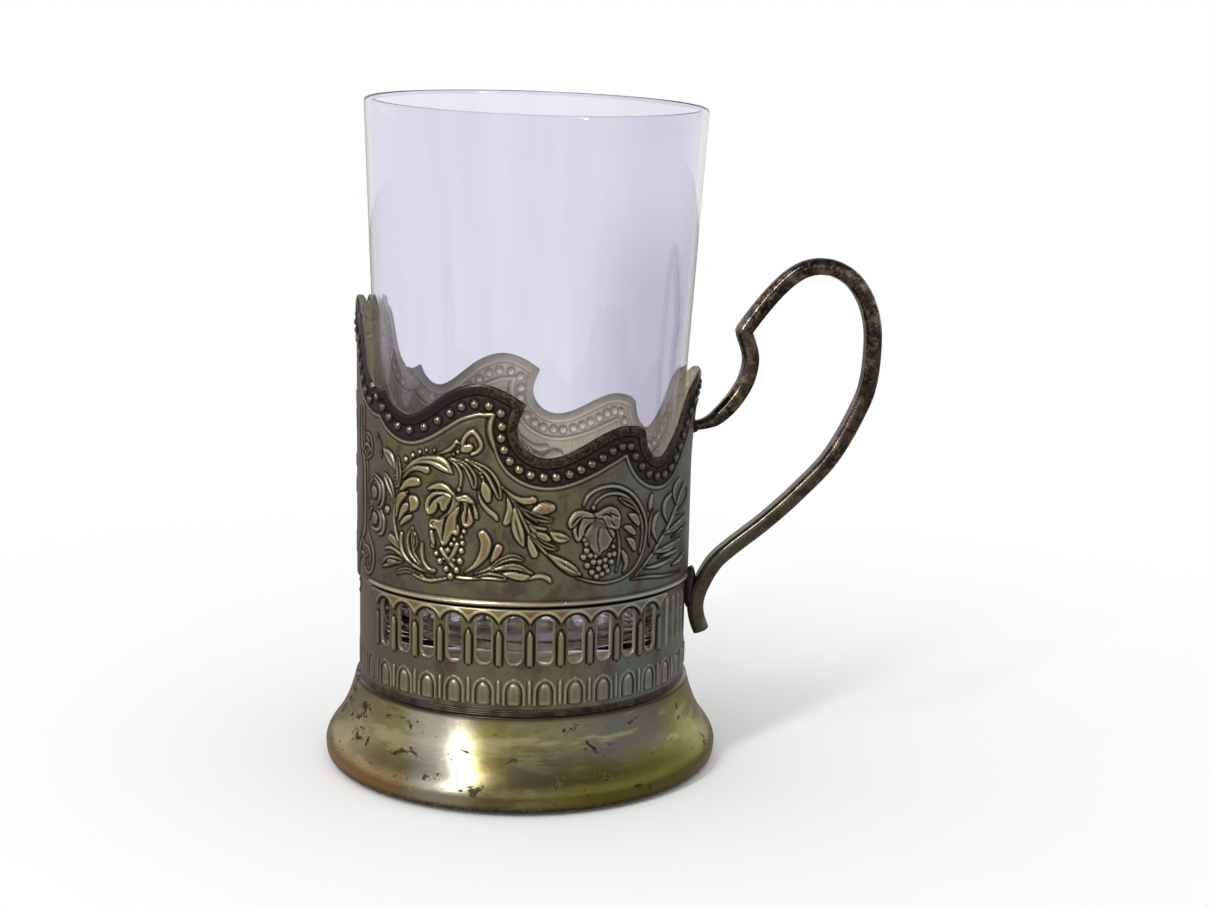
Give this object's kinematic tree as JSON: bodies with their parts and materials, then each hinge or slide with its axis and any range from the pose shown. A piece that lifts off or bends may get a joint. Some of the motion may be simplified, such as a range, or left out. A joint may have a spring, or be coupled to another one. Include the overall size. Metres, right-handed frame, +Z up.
{
  "type": "tea glass holder",
  "caption": "Podstakannik: stamped sheet sleeve with wavy rim and pierced arcade on a hollow bell foot, with a bent bar handle and a loose thin tea glass.",
  "frame": {"origin": "centre of the foot's standing edge, on the table", "axes": "+Z up along the sleeve's axis, +X towards the handle, +Y completing a right-handed set"},
  "size_m": [0.1151, 0.0832, 0.1353],
  "materials": {
    "clear_glass": "clear, thin, polished",
    "silvered_brass": "stamped, worn silver plate, dark in the hollows",
    "dark_brass": "tarnished, dull",
    "worn_brass": "brushed, spotted, plate worn through",
    "brown_brass": "dark brown patina, worn on the ridge",
    "solder": "dull grey solder"
  },
  "bodies": {
    "holder": {"sleeve": "silvered_brass", "seam_solder": "solder", "glass_seat": "dark_brass", "foot_ring": "dark_brass", "foot": "worn_brass", "handle": "brown_brass", "upper_solder": "solder", "lower_solder": "solder"},
    "glass": {"tea_glass": "clear_glass"}
  },
  "joints": [
    {"name": "glass_lift", "type": "slide", "parent": "holder", "child": "glass", "axis": [0, 0, 1], "range_m": [0, 0.085]}
  ]
}
